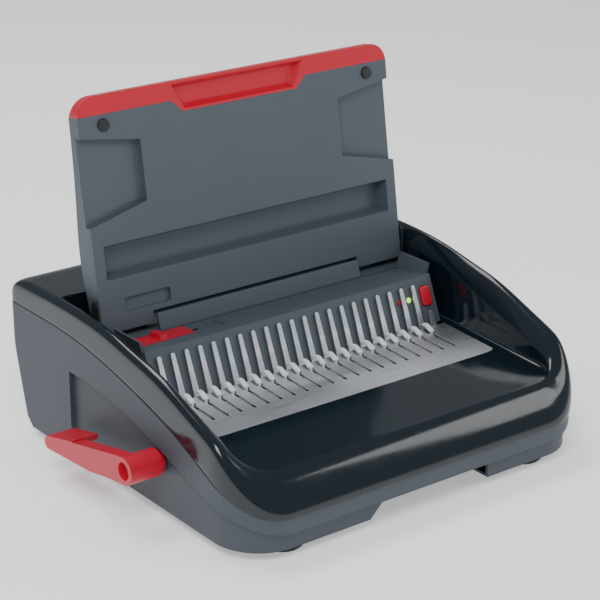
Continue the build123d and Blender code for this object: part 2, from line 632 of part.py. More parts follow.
with BuildPart() as lid_trim:
    add(lid_blank.part)
    add(trim_zone.part, mode=Mode.INTERSECT)
    with BuildSketch(LID_PLANE):
        with BuildLine():
            Polyline((-GRIP_HALF[0] + 2.5, up_lid(GRIP_Z) + 2), (GRIP_HALF[0] - 2.5, up_lid(GRIP_Z) + 2),
                     (GRIP_HALF[1] - 2.5, up_lid(LID_Z[1]) - 2.5),
                     (-GRIP_HALF[1] + 2.5, up_lid(LID_Z[1]) - 2.5), close=True)
        make_face()
    extrude(amount=-7, taper=30, mode=Mode.SUBTRACT)
save(lid_trim, "lid_trim")

for label, x in (("lid_bumper_left", -BUMPER_X), ("lid_bumper_right", BUMPER_X)):
    with BuildPart() as bumper:
        with BuildSketch(LID_PLANE.offset(-3)):
            with Locations((x, up_lid(BUMPER_Z))):
                Circle(BUMPER_R)
        extrude(amount=5.5)
        fillet(bumper.faces().sort_by(Axis.Y)[0].edges(), 1.2)
    save(bumper, label)

for label, hand in (("left", -1), ("right", 1)):
    with BuildPart() as hinge_pin:
        add(rod(sorted((hand * (LID_HALF - 12), hand * EAR_X[1])), HINGE_Y, HINGE_Z, HINGE_PIN_R))
    save(hinge_pin, f"hinge_pin_{label}")
    with BuildPart() as hinge_ear:
        extrude(side([(HINGE_Y - 9, SHELF_Z), (HINGE_Y - HINGE_EAR_R, HINGE_Z),
                      (HINGE_Y + HINGE_EAR_R, HINGE_Z), (HINGE_Y + 12, SHELF_Z)], hand * EAR_X[0]),
                amount=hand * (EAR_X[1] - EAR_X[0]))
        add(rod(sorted((hand * EAR_X[0], hand * EAR_X[1])), HINGE_Y, HINGE_Z, HINGE_EAR_R))
        add(rod(sorted((hand * (EAR_X[0] - 1), hand * (EAR_X[1] + 1))), HINGE_Y, HINGE_Z, HINGE_PIN_R + RUN),
            mode=Mode.SUBTRACT)
    save(hinge_ear, f"hinge_ear_{label}")

# ---- ring lever and hooks --------------------------------------------------------------------
with BuildPart() as lever_handle:
    extrude(side([(LEVER_Y, LEVER_Z + LEVER_HUB_R), (LEVER_Y + 12, LEVER_Z + 10.6), (66, 40), (70.5, 36),
              (71, 31), (67, 27.5), (-4, 32.5), (-36, 38.5), (LEVER_Y, LEVER_Z - LEVER_HUB_R)], LEVER_X),
            amount=LEVER_ARM_T)
    extrude(side([(24, 50), (66, 40), (70.5, 36), (69.5, 33), (64, 35), (26, 44)], LEVER_X),
            amount=LEVER_ARM_T + 15)
    add(rod((LEVER_X, LEVER_ROOT_X), LEVER_Y, LEVER_Z, LEVER_HUB_R))
    add(rod((LEVER_ROOT_X, -HALF_W + INSET - 2), LEVER_Y, LEVER_Z, BUSH_R + 2))
    add(rod((LEVER_X, LEVER_X + 6), LEVER_Y, LEVER_Z, 8.0), mode=Mode.SUBTRACT)
    add(rod((LEVER_X + 12, 0), LEVER_Y, LEVER_Z, SHAFT_R), mode=Mode.SUBTRACT)
save(lever_handle, "lever_handle")

with BuildPart() as lever_shaft:
    add(rod((LEVER_X + 12, BEARING_X[1] + SHAFT_END), LEVER_Y, LEVER_Z, SHAFT_R))
save(lever_shaft, "lever_shaft")

with BuildPart() as shaft_bush:
    add(rod((-HALF_W + INSET - 1, -ROOM[0] + 3), LEVER_Y, LEVER_Z, BUSH_R))
    add(rod((-HALF_W, 0), LEVER_Y, LEVER_Z, SHAFT_R + RUN), mode=Mode.SUBTRACT)
save(shaft_bush, "shaft_bush")

for label, hand in (("left", -1), ("right", 1)):
    with BuildPart() as pinion:
        with BuildSketch(Plane.YZ.offset(hand * RACK_X - 5)):
            with Locations((LEVER_Y, LEVER_Z)):
                Circle(PINION_R - 0.2)
                with PolarLocations(PINION_R, 18):
                    Rectangle(4.0, 2.2, mode=Mode.SUBTRACT)
                Circle(SHAFT_R, mode=Mode.SUBTRACT)
        extrude(amount=10)
    save(pinion, f"lever_pinion_{label}")
    with BuildPart() as bearing:
        extrude(side([(-92, BASE_Z + PLATE_T), (-92, BAR_Z[0] - GAP), (-24, BAR_Z[0] - GAP),
                  (-24, BASE_Z + PLATE_T)], hand * BEARING_X[0]), amount=hand * (BEARING_X[1] - BEARING_X[0]))
        add(rod(sorted((hand * (BEARING_X[0] - 1), hand * (BEARING_X[1] + 1))), LEVER_Y, LEVER_Z,
                SHAFT_R + RUN), mode=Mode.SUBTRACT)
    save(bearing, f"shaft_bearing_{label}")

with BuildPart() as hook_bar:
    add(block((-BEARING_X[1] + 0.5, BEARING_X[1] - 0.5), (-46, -26), BAR_Z))
    for x in (-RACK_X, RACK_X):
        add(block((x - 5, x + 5), (-66, -30), (LEVER_Z + PINION_R + GAP, BAR_Z[1])))
    for index in range(RINGS):
        x = finger_x(index)
        add(block((x - HOOK_NECK_W / 2, x + HOOK_NECK_W / 2), (-30, -27.2), (BAR_Z[1], 81.0)))
        extrude(side([(-30, 80.6), (-27.2, 80.6), (-21.5, 83.4), (-17.6, 83.4), (-17.6, 85.2), (-22, 85.2),
                  (-30, 81.6)], x - HOOK_W / 2), amount=HOOK_W)
save(hook_bar, "hook_bar")

for label, hand in (("left", -1), ("right", 1)):
    with BuildPart() as guard:
        add(block(sorted((hand * (BEARING_X[0] - 6), hand * BEARING_X[0])), (-92, -24),
                  (BASE_Z + PLATE_T, BASE_Z + 2 * PLATE_T)))
    save(guard, f"bearing_foot_{label}")

# ---- punch -----------------------------------------------------------------------------------
CAM_Y = GUIDE_Y[1] + STROKE + 1.2 + 7.0 + CAM_GAP + CAM_R - STROKE / 2
PINION_Y = CAM_Y + (GEAR_R + MOTOR_PINION_R + GAP) * cos(radians(20))
PINION_Z = CAM_Z - (GEAR_R + MOTOR_PINION_R + GAP) * sin(radians(20))
BAR_Y = (GUIDE_Y[1] + STROKE + 1.2, GUIDE_Y[1] + STROKE + 8.2)

with BuildPart() as die_plate:
    add(block((-FRAME_X, FRAME_X), DIE_Y, BLOCK_Z))
    add(block((-FRAME_X, FRAME_X), (DIE_Y[1], GUIDE_Y[0]), (BLOCK_Z[0], BLOCK_Z[0] + 3)))
    with BuildSketch(Plane.XZ.offset(-DIE_Y[1])):
        for index in range(RINGS):
            with Locations((ring_x(index), PUNCH_Z)):
                Rectangle(PUNCH_LONG + 2 * GAP, PUNCH_HIGH + 2 * GAP)
    extrude(amount=DIE_Y[1] - DIE_Y[0], mode=Mode.SUBTRACT)
save(die_plate, "die_plate")

with BuildPart() as punch_guide:
    add(block((-FRAME_X, FRAME_X), GUIDE_Y, BLOCK_Z))
    with BuildSketch(Plane.XZ.offset(-GUIDE_Y[1])):
        for index in range(RINGS):
            with Locations((ring_x(index), PUNCH_Z)):
                Rectangle(PUNCH_LONG + 2 * RUN, PUNCH_HIGH + 2 * RUN)
    extrude(amount=GUIDE_Y[1] - GUIDE_Y[0], mode=Mode.SUBTRACT)
save(punch_guide, "punch_guide")

with BuildPart() as punch_bar:
    add(block((ring_x(0) - 6, ring_x(RINGS - 1) + 6), BAR_Y, (CAM_Z - 8, BLOCK_Z[1])))
    for index in range(RINGS):
        x = ring_x(index)
        add(block((x - PUNCH_LONG / 2, x + PUNCH_LONG / 2), (GUIDE_Y[0] + 0.6, BAR_Y[0]),
                  (PUNCH_Z - PUNCH_HIGH / 2, PUNCH_Z + PUNCH_HIGH / 2)))
save(punch_bar, "punch_bar")

for label, hand in (("left", -1), ("right", 1)):
    with BuildPart() as frame_side:
        extrude(side([(DIE_Y[0] - 4, 52), (DIE_Y[0] - 4, BLOCK_Z[1]), (GUIDE_Y[0] + 2, BLOCK_Z[1]),
                      (GUIDE_Y[0] + 2, SHELF_Z - WALL), (134, SHELF_Z - WALL), (134, BASE_Z + PLATE_T),
                      (88, BASE_Z + PLATE_T), (88, 52)], hand * FRAME_X),
                amount=hand * PLATE_T)
        through = sorted((hand * (FRAME_X - 1), hand * (FRAME_X + PLATE_T + 1)))
        add(rod(through, CAM_Y, CAM_Z, CAM_SHAFT_R + RUN), mode=Mode.SUBTRACT)
        add(rod(through, PINION_Y, PINION_Z, CAM_SHAFT_R), mode=Mode.SUBTRACT)
    save(frame_side, f"frame_side_{label}")

with BuildPart() as cam_shaft:
    add(rod((-FRAME_X - PLATE_T - SHAFT_END, GEAR_X[1] + 1), CAM_Y, CAM_Z, CAM_SHAFT_R))
save(cam_shaft, "cam_shaft")

for label, x in zip(("left", "right"), CAM_X):
    with BuildPart() as eccentric:
        add(rod((x - 5, x + 5), CAM_Y + STROKE / 2, CAM_Z, CAM_R))
        add(rod((x - 6, x + 6), CAM_Y, CAM_Z, CAM_SHAFT_R), mode=Mode.SUBTRACT)
    save(eccentric, f"eccentric_{label}")

with BuildPart() as cam_gear:
    with BuildSketch(Plane.YZ.offset(GEAR_X[0])):
        with Locations((CAM_Y, CAM_Z)):
            Circle(GEAR_R)
            with PolarLocations(GEAR_R, 48):
                Rectangle(3.0, 1.8, mode=Mode.SUBTRACT)
            with PolarLocations(GEAR_R * 0.55, 5):
                Circle(5.0, mode=Mode.SUBTRACT)
            Circle(CAM_SHAFT_R, mode=Mode.SUBTRACT)
    extrude(amount=GEAR_X[1] - GEAR_X[0])
save(cam_gear, "cam_gear")

with BuildPart() as motor_pinion:
    add(rod((FRAME_X - 1, GEAR_X[1]), PINION_Y, PINION_Z, 2.5))
    with BuildSketch(Plane.YZ.offset(GEAR_X[0])):
        with Locations((PINION_Y, PINION_Z)):
            Circle(MOTOR_PINION_R)
            with PolarLocations(MOTOR_PINION_R, 12):
                Rectangle(3.0, 1.6, mode=Mode.SUBTRACT)
    extrude(amount=GEAR_X[1] - GEAR_X[0])
save(motor_pinion, "motor_pinion")

with BuildPart() as motor:
    add(rod((FRAME_X - MOTOR_LENGTH, FRAME_X - 2), PINION_Y, PINION_Z, MOTOR_R))
    add(rod((FRAME_X - 2, FRAME_X), PINION_Y, PINION_Z, 8.0))
    add(rod((FRAME_X - 2, FRAME_X + 1), PINION_Y, PINION_Z, 3.0), mode=Mode.SUBTRACT)
save(motor, "motor")

with BuildPart() as motor_bracket:
    add(block((FRAME_X - 70, FRAME_X - 30), (PINION_Y - 14, PINION_Y + 14),
              (BASE_Z + PLATE_T, PINION_Z - MOTOR_R * 0.6)))
    add(rod((FRAME_X - 80, FRAME_X - 20), PINION_Y, PINION_Z, MOTOR_R), mode=Mode.SUBTRACT)
save(motor_bracket, "motor_bracket")

with BuildPart() as transformer:
    add(block((8 - FRAME_X, 68 - FRAME_X), (92, 140), (BASE_Z + PLATE_T, 56)))
    add(block((18 - FRAME_X, 58 - FRAME_X), (88, 144), (22, 45)))
save(transformer, "transformer")

with BuildPart() as power_board:
    add(block((-60, 40), (95, 145), (18, 19.6)))
    for x in (-56, 36):
        for y in (99, 141):
            add(block((x - 2, x + 2), (y - 2, y + 2), (BASE_Z + PLATE_T, 18)))
    for x, width, height in ((-40, 16, 18), (-12, 12, 24), (18, 20, 14)):
        add(block((x - width / 2, x + width / 2), (108, 130), (19.6, 19.6 + height)))
save(power_board, "power_board")

# ---- chip drawer -----------------------------------------------------------------------------
with BuildPart() as chip_drawer:
    add(block((DRAWER_REAR_X, HALF_W - INSET), DRAWER_Y, DRAWER_Z))
    add(block((DRAWER_REAR_X + DRAWER_WALL, HALF_W - INSET - 3), (DRAWER_Y[0] + DRAWER_WALL,
              DRAWER_Y[1] - DRAWER_WALL), (DRAWER_Z[0] + DRAWER_WALL, DRAWER_Z[1] + 1)), mode=Mode.SUBTRACT)
    with BuildSketch(Plane.YZ.offset(HALF_W - INSET)):
        with Locations((sum(DRAWER_Y) / 2, sum(DRAWER_Z) / 2)):
            RectangleRounded(30, 12, 5)
    extrude(amount=-1.6, mode=Mode.SUBTRACT)
save(chip_drawer, "chip_drawer")

for label, y in (("front", DRAWER_Y[0] + 10), ("rear", DRAWER_Y[1] - 10)):
    with BuildPart() as runner:
        add(block((DRAWER_REAR_X, ROOM[0]), (y - 3, y + 3), (BASE_Z + PLATE_T, DRAWER_Z[0] - GAP)))
    save(runner, f"drawer_runner_{label}")

# ---- power entry -----------------------------------------------------------------------------
with BuildPart() as power_inlet:
    with BuildSketch(REAR_PLANE.offset(-16)):
        with Locations((110, 0)):
            Rectangle(30, 24)
    extrude(amount=17.0)
    with BuildSketch(REAR_PLANE.offset(1)):
        with Locations((110, 0)):
            Rectangle(24, 17)
    extrude(amount=-13, mode=Mode.SUBTRACT)
    with BuildSketch(REAR_PLANE.offset(-12)):
        with Locations((103, -2), (110, 2), (117, -2)):
            Rectangle(1.8, 5)
    extrude(amount=9)
save(power_inlet, "power_inlet")

with BuildPart() as rocker_frame:
    with BuildSketch(REAR_PLANE.offset(-12)):
        with Locations((60, 0)):
            Rectangle(22, 16)
            Rectangle(18, 12, mode=Mode.SUBTRACT)
    extrude(amount=13)
    with BuildSketch(REAR_PLANE.offset(-12)):
        with Locations((60, 0)):
            Rectangle(22, 16)
    extrude(amount=1.5)
save(rocker_frame, "rocker_frame")

with BuildPart() as power_rocker:
    with BuildSketch(REAR_PLANE.offset(-2.5)):
        with Locations((60, 0)):
            Rectangle(17, 11)
    extrude(amount=4)
save(power_rocker, "power_rocker")
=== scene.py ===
"""An electric comb binding machine with its lid open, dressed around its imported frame."""
import math

import bmesh
import bpy
from bpy.props import FloatProperty, FloatVectorProperty, PointerProperty
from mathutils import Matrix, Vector


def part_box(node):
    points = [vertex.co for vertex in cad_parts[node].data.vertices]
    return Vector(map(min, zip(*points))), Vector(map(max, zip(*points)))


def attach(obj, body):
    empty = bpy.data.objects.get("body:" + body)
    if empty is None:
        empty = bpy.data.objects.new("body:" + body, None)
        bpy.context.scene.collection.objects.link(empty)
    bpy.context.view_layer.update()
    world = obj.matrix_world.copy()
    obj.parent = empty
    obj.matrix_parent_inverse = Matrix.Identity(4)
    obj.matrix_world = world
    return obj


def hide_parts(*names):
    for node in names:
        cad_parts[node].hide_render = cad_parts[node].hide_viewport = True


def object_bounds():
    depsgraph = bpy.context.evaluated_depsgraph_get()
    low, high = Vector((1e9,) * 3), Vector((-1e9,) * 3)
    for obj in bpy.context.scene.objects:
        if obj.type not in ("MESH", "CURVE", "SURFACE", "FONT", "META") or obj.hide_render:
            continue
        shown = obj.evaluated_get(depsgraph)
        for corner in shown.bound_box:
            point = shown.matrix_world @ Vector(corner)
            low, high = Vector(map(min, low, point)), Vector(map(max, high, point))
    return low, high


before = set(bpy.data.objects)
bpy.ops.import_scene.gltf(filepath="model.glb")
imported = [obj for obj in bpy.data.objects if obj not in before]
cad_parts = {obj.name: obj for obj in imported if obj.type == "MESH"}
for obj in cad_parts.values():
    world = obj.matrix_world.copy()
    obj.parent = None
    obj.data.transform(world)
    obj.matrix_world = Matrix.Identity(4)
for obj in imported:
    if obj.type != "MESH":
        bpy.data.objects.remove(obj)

bl_info = {
    "name": "Comb Binding Machine",
    "version": (1, 0, 0),
    "blender": (4, 5, 0),
    "location": "View3D > Sidebar > Binder",
    "description": "Dresses the binding machine's frame and sets its stage",
    "category": "Object",
}

MM = 0.001
CAD_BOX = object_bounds()


# ---- colours and shader nodes ----------------------------------------------------------------
def linear(code):
    """Linear RGBA of an sRGB hex colour such as "#4d545d"."""
    channels = [int(code[i:i + 2], 16) / 255 for i in (1, 3, 5)]
    return tuple(c / 12.92 if c <= 0.04045 else ((c + 0.055) / 1.055) ** 2.4 for c in channels) + (1.0,)


def add_node(tree, kind, inputs=None, **settings):
    """Add a shader node, set its settings, and give its inputs values or links."""
    made = tree.nodes.new(kind)
    for name, value in settings.items():
        setattr(made, name, value)
    for name, value in (inputs or {}).items():
        if isinstance(value, bpy.types.NodeSocket):
            tree.links.new(value, made.inputs[name])
        else:
            made.inputs[name].default_value = value
    return made


def start_material(name):
    material = bpy.data.materials.new(name)
    material.use_nodes = True
    material.node_tree.nodes.clear()
    return material, material.node_tree


def tones(code, dark, light):
    """A darker and a lighter tone of a colour."""
    base = linear(code)[:3]
    return tuple(tuple(min(c * share, 1.0) for c in base) + (1.0,) for share in (dark, light))


# ---- materials -------------------------------------------------------------------------------
# Noise keeps near its middle, so each map from it starts at 0.3 and ends at 0.7. The bevel node rounds
# each edge as a mould, or a deburring, leaves it. Mix nodes have several inputs of one name, so theirs
# are given by number: 0 the factor, 6 and 7 the two colours, and output 2 the colour.
def grained_abs(name, code, roughness=0.55, edge_mm=0.7, grain_mm=0.9):
    """ABS moulded in a spark-eroded tool: an even fine grain that breaks the light up softly.
    The real grain is about 0.1 mm and is drawn coarser so that it shows."""
    material, tree = start_material(name)
    place = add_node(tree, "ShaderNodeTexCoord").outputs["Object"]
    fine = add_node(tree, "ShaderNodeTexNoise", {
        "Vector": place, "Scale": 1 / (grain_mm * MM), "Detail": 3.0, "Roughness": 0.55}).outputs["Fac"]
    cloud = add_node(tree, "ShaderNodeTexNoise", {
        "Vector": place, "Scale": 1 / (60 * MM), "Detail": 2.0, "Roughness": 0.55}).outputs["Fac"]
    dark, light = tones(code, 0.94, 1.05)
    colour = add_node(tree, "ShaderNodeMix", {0: cloud, 6: dark, 7: light}, data_type="RGBA")
    sheen = add_node(tree, "ShaderNodeMapRange", {
        "Value": fine, "From Min": 0.3, "From Max": 0.7,
        "To Min": roughness - 0.06, "To Max": roughness + 0.06})
    edge = add_node(tree, "ShaderNodeBevel", {"Radius": edge_mm * MM}, samples=6)
    relief = add_node(tree, "ShaderNodeBump", {
        "Height": fine, "Distance": 0.05 * MM, "Strength": 0.5, "Normal": edge.outputs["Normal"]})
    surface = add_node(tree, "ShaderNodeBsdfPrincipled", {
        "Base Color": colour.outputs[2], "IOR": 1.53, "Roughness": sheen.outputs["Result"],
        "Normal": relief.outputs["Normal"]})
    add_node(tree, "ShaderNodeOutputMaterial", {"Surface": surface.outputs["BSDF"]})
    return material


def polished_abs(name, code, roughness=0.1, edge_mm=0.9):
    """ABS moulded in a polished tool: a deep wet gloss with a slow ripple and faint handling haze."""
    material, tree = start_material(name)
    place = add_node(tree, "ShaderNodeTexCoord").outputs["Object"]
    ripple = add_node(tree, "ShaderNodeTexNoise", {
        "Vector": place, "Scale": 1 / (22 * MM), "Detail": 1.0, "Roughness": 0.55}).outputs["Fac"]
    haze = add_node(tree, "ShaderNodeTexNoise", {
        "Vector": place, "Scale": 1 / (9 * MM), "Detail": 4.0, "Roughness": 0.55}).outputs["Fac"]
    dark, light = tones(code, 0.96, 1.04)
    colour = add_node(tree, "ShaderNodeMix", {0: ripple, 6: dark, 7: light}, data_type="RGBA")
    sheen = add_node(tree, "ShaderNodeMapRange", {
        "Value": haze, "From Min": 0.3, "From Max": 0.7,
        "To Min": roughness - 0.02, "To Max": roughness + 0.05})
    edge = add_node(tree, "ShaderNodeBevel", {"Radius": edge_mm * MM}, samples=6)
    relief = add_node(tree, "ShaderNodeBump", {
        "Height": ripple, "Distance": 0.02 * MM, "Strength": 0.2, "Normal": edge.outputs["Normal"]})
    surface = add_node(tree, "ShaderNodeBsdfPrincipled", {
        "Base Color": colour.outputs[2], "IOR": 1.53, "Roughness": sheen.outputs["Result"],
        "Normal": relief.outputs["Normal"]})
    add_node(tree, "ShaderNodeOutputMaterial", {"Surface": surface.outputs["BSDF"]})
    return material


def brushed_stainless(name, code, roughness=0.32, along="x"):
    """Stainless sheet brushed along its length: fine streaks that smear the highlights. The real
    streaks are about 0.1 mm apart and are drawn coarser so that they show."""
    material, tree = start_material(name)
    stretch = (0.02, 1.0, 1.0) if along == "x" else (1.0, 1.0, 0.04)
    place = add_node(tree, "ShaderNodeTexCoord").outputs["Object"]
    brushing = add_node(tree, "ShaderNodeMapping", {"Vector": place, "Scale": stretch}).outputs["Vector"]
    streak = add_node(tree, "ShaderNodeTexNoise", {
        "Vector": brushing, "Scale": 1 / (0.8 * MM), "Detail": 3.0, "Roughness": 0.55}).outputs["Fac"]
    cloud = add_node(tree, "ShaderNodeTexNoise", {
        "Vector": place, "Scale": 1 / (35 * MM), "Detail": 2.0, "Roughness": 0.55}).outputs["Fac"]
    dark, light = tones(code, 0.94, 1.04)
    colour = add_node(tree, "ShaderNodeMix", {0: cloud, 6: dark, 7: light}, data_type="RGBA")
    sheen = add_node(tree, "ShaderNodeMapRange", {
        "Value": streak, "From Min": 0.3, "From Max": 0.7,
        "To Min": roughness - 0.07, "To Max": roughness + 0.08})
    edge = add_node(tree, "ShaderNodeBevel", {"Radius": 0.3 * MM}, samples=6)
    relief = add_node(tree, "ShaderNodeBump", {
        "Height": streak, "Distance": 0.01 * MM, "Strength": 0.2, "Normal": edge.outputs["Normal"]})
    surface = add_node(tree, "ShaderNodeBsdfPrincipled", {
        "Base Color": colour.outputs[2], "Metallic": 1.0, "Roughness": sheen.outputs["Result"],
        "Anisotropic": 0.4, "Normal": relief.outputs["Normal"]})
    add_node(tree, "ShaderNodeOutputMaterial", {"Surface": surface.outputs["BSDF"]})
    return material


def zinc_steel(name, code, roughness=0.38):
    """Zinc plated steel plate: a faint grey spangle and a dull sheen."""
    material, tree = start_material(name)
    place = add_node(tree, "ShaderNodeTexCoord").outputs["Object"]
    spangle = add_node(tree, "ShaderNodeTexVoronoi",
                       {"Vector": place, "Scale": 1 / (6 * MM)}).outputs["Distance"]
    dark, light = tones(code, 0.9, 1.05)
    colour = add_node(tree, "ShaderNodeMix", {0: spangle, 6: dark, 7: light}, data_type="RGBA")
    sheen = add_node(tree, "ShaderNodeMapRange", {
        "Value": spangle, "From Min": 0.3, "From Max": 0.7,
        "To Min": roughness - 0.05, "To Max": roughness + 0.07})
    edge = add_node(tree, "ShaderNodeBevel", {"Radius": 0.3 * MM}, samples=6)
    surface = add_node(tree, "ShaderNodeBsdfPrincipled", {
        "Base Color": colour.outputs[2], "Metallic": 1.0, "Roughness": sheen.outputs["Result"],
        "Normal": edge.outputs["Normal"]})
    add_node(tree, "ShaderNodeOutputMaterial", {"Surface": surface.outputs["BSDF"]})
    return material


def ground_steel(name, code, roughness=0.22):
    """Round steel bar ground between centres: thin rings round the bar. The real rings are finer and
    are drawn coarser so that they show."""
    material, tree = start_material(name)
    place = add_node(tree, "ShaderNodeTexCoord").outputs["Object"]
    turning = add_node(tree, "ShaderNodeMapping", {
        "Vector": place, "Scale": (1.0, 0.05, 0.05)}).outputs["Vector"]
    rings = add_node(tree, "ShaderNodeTexNoise", {
        "Vector": turning, "Scale": 1 / (0.7 * MM), "Detail": 2.0, "Roughness": 0.55}).outputs["Fac"]
    dark, light = tones(code, 0.95, 1.03)
    colour = add_node(tree, "ShaderNodeMix", {0: rings, 6: dark, 7: light}, data_type="RGBA")
    sheen = add_node(tree, "ShaderNodeMapRange", {
        "Value": rings, "From Min": 0.3, "From Max": 0.7,
        "To Min": roughness - 0.05, "To Max": roughness + 0.06})
    edge = add_node(tree, "ShaderNodeBevel", {"Radius": 0.2 * MM}, samples=6)
    relief = add_node(tree, "ShaderNodeBump", {
        "Height": rings, "Distance": 0.02 * MM, "Strength": 0.4, "Normal": edge.outputs["Normal"]})
    surface = add_node(tree, "ShaderNodeBsdfPrincipled", {
        "Base Color": colour.outputs[2], "Metallic": 1.0, "Roughness": sheen.outputs["Result"],
        "Normal": relief.outputs["Normal"]})
    add_node(tree, "ShaderNodeOutputMaterial", {"Surface": surface.outputs["BSDF"]})
    return material


def moulded_rubber(name, code):
    """Moulded rubber: matt, slightly dusty, with a pebbled skin."""
    material, tree = start_material(name)
    place = add_node(tree, "ShaderNodeTexCoord").outputs["Object"]
    pebble = add_node(tree, "ShaderNodeTexNoise", {
        "Vector": place, "Scale": 1 / (1.2 * MM), "Detail": 2.0, "Roughness": 0.55}).outputs["Fac"]
    dark, light = tones(code, 0.85, 1.15)
    colour = add_node(tree, "ShaderNodeMix", {0: pebble, 6: dark, 7: light}, data_type="RGBA")
    sheen = add_node(tree, "ShaderNodeMapRange", {
        "Value": pebble, "From Min": 0.3, "From Max": 0.7, "To Min": 0.72, "To Max": 0.86})
    edge = add_node(tree, "ShaderNodeBevel", {"Radius": 0.6 * MM}, samples=6)
    relief = add_node(tree, "ShaderNodeBump", {
        "Height": pebble, "Distance": 0.12 * MM, "Strength": 0.6, "Normal": edge.outputs["Normal"]})
    surface = add_node(tree, "ShaderNodeBsdfPrincipled", {
        "Base Color": colour.outputs[2], "IOR": 1.52, "Roughness": sheen.outputs["Result"],
        "Normal": relief.outputs["Normal"]})
    add_node(tree, "ShaderNodeOutputMaterial", {"Surface": surface.outputs["BSDF"]})
    return material


def acetal(name, code, roughness=0.3):
    """Moulded acetal: a clean waxy gloss with a little light held under its skin."""
    material, tree = start_material(name)
    place = add_node(tree, "ShaderNodeTexCoord").outputs["Object"]
    cloud = add_node(tree, "ShaderNodeTexNoise", {
        "Vector": place, "Scale": 1 / (3 * MM), "Detail": 2.0, "Roughness": 0.55}).outputs["Fac"]
    dark, light = tones(code, 0.96, 1.0)
    colour = add_node(tree, "ShaderNodeMix", {0: cloud, 6: dark, 7: light}, data_type="RGBA")
    sheen = add_node(tree, "ShaderNodeMapRange", {
        "Value": cloud, "From Min": 0.3, "From Max": 0.7,
        "To Min": roughness - 0.04, "To Max": roughness + 0.06})
    edge = add_node(tree, "ShaderNodeBevel", {"Radius": 0.35 * MM}, samples=6)
    surface = add_node(tree, "ShaderNodeBsdfPrincipled", {
        "Base Color": colour.outputs[2], "IOR": 1.48, "Roughness": sheen.outputs["Result"],
        "Subsurface Weight": 0.12, "Subsurface Scale": 1.5 * MM, "Normal": edge.outputs["Normal"]})
    add_node(tree, "ShaderNodeOutputMaterial", {"Surface": surface.outputs["BSDF"]})
    return material


def circuit_board(name, code):
    """Glass-epoxy board under green lacquer: copper runs show through as lighter blocks."""
    material, tree = start_material(name)
    place = add_node(tree, "ShaderNodeTexCoord").outputs["Object"]
    runs = add_node(tree, "ShaderNodeTexVoronoi", {
        "Vector": place, "Scale": 1 / (4 * MM)}, distance="CHEBYCHEV").outputs["Distance"]
    dark, light = tones(code, 0.7, 1.35)
    colour = add_node(tree, "ShaderNodeMix", {0: runs, 6: dark, 7: light}, data_type="RGBA")
    surface = add_node(tree, "ShaderNodeBsdfPrincipled", {
        "Base Color": colour.outputs[2], "IOR": 1.5, "Roughness": 0.3})
    add_node(tree, "ShaderNodeOutputMaterial", {"Surface": surface.outputs["BSDF"]})
    return material


def tinted_lamp(name, code, glow):
    """Tinted polycarbonate lamp cap: clear gloss over an inner part that glows or stays dark, with a
    painted sheen: its colour is painted lighter towards the grazing edges.
    """
    material, tree = start_material(name)
    # Painted sheen: the cap's colour runs from a darker tone face-on to a lighter tone at the grazing
    # edges.
    grazing_sheen = add_node(tree, "ShaderNodeLayerWeight", {"Blend": 0.35}).outputs["Facing"]
    dark, light = tones(code, 0.75, 1.1)
    colour = add_node(tree, "ShaderNodeMix", {0: grazing_sheen, 6: dark, 7: light}, data_type="RGBA")
    surface = add_node(tree, "ShaderNodeBsdfPrincipled", {
        "Base Color": colour.outputs[2], "IOR": 1.58, "Roughness": 0.12,
        "Emission Color": linear(code), "Emission Strength": glow})
    add_node(tree, "ShaderNodeOutputMaterial", {"Surface": surface.outputs["BSDF"]})
    return material


def white_paper():
    """Studio paper: matt and almost even, and it glows a little so that it stays pale."""
    material, tree = start_material("white_paper")
    place = add_node(tree, "ShaderNodeTexCoord").outputs["Object"]
    fibre = add_node(tree, "ShaderNodeTexNoise", {
        "Vector": place, "Scale": 1 / (2 * MM), "Detail": 2.0, "Roughness": 0.55}).outputs["Fac"]
    dark, light = tones("#fbfbfb", 0.99, 1.0)
    colour = add_node(tree, "ShaderNodeMix", {0: fibre, 6: dark, 7: light}, data_type="RGBA")
    surface = add_node(tree, "ShaderNodeBsdfPrincipled", {
        "Base Color": colour.outputs[2], "Roughness": 0.9, "Specular IOR Level": 0.1,
        "Emission Color": linear("#ffffff"), "Emission Strength": 0.45})
    add_node(tree, "ShaderNodeOutputMaterial", {"Surface": surface.outputs["BSDF"]})
    return material


# ---- cover mesh ------------------------------------------------------------------------------
# Heights of the cover along the machine, as (Y, Z) in millimetres from the finger tips and the table.
JOINT = ((-188, 38), (-178, 42), (-155, 56), (-125, 71), (-81, 89), (-30, 104), (15, 114), (64, 121.5),
         (116, 124), (186, 124.5))
CREST = ((-188, 66), (-180, 76), (-165, 88), (-140, 100.5), (-105, 114), (-61, 129.5), (-21, 138),
         (20, 145.6), (60, 149), (101, 149.8), (186, 149.8))
SILL = ((-166, 72.7), (-150, 80.5), (-121, 92.7), (-80, 105), (-33, 118.6), (-7, 125.5), (25, 130.7),
        (66, 135.6), (101, 137.5))
HALF_W, FRONT_Y, REAR_Y = 193.0, -188.0, 186.0
FRONT_R, REAR_R = 50.0, 12.0
WELL_HALF, WELL_FRONT_Y, WELL_REAR_Y, WELL_R = 171.0, -165.0, 101.0, 26.0
DRAFT = math.tan(math.radians(5.0))
CREST_X = 186.5
TRAY_HALF, TRAY_FRONT_Y = 161.1, -90.1
EDGE_R = 8.0                  # rounding of the cover's outer edge
REAR_ROUND = (28.0, 20.0)     # depth and height of the rounding at the rear
SKIN = 2.5                    # depth of the lip that the cover turns in at the joint
TOE_Z = 40.0                  # lowest height of the rounded front
FRONT_POWER = 2 / 1.4         # fullness of the rounded front
DECK_Z = 149.8                # deck behind the well
DECK_FALL = 0.6               # how far the deck falls to the rear
REAR_SIDE_STEPS = 8           # sections along each side of the deck, and round each rear corner
REAR_CORNER_STEPS = 6


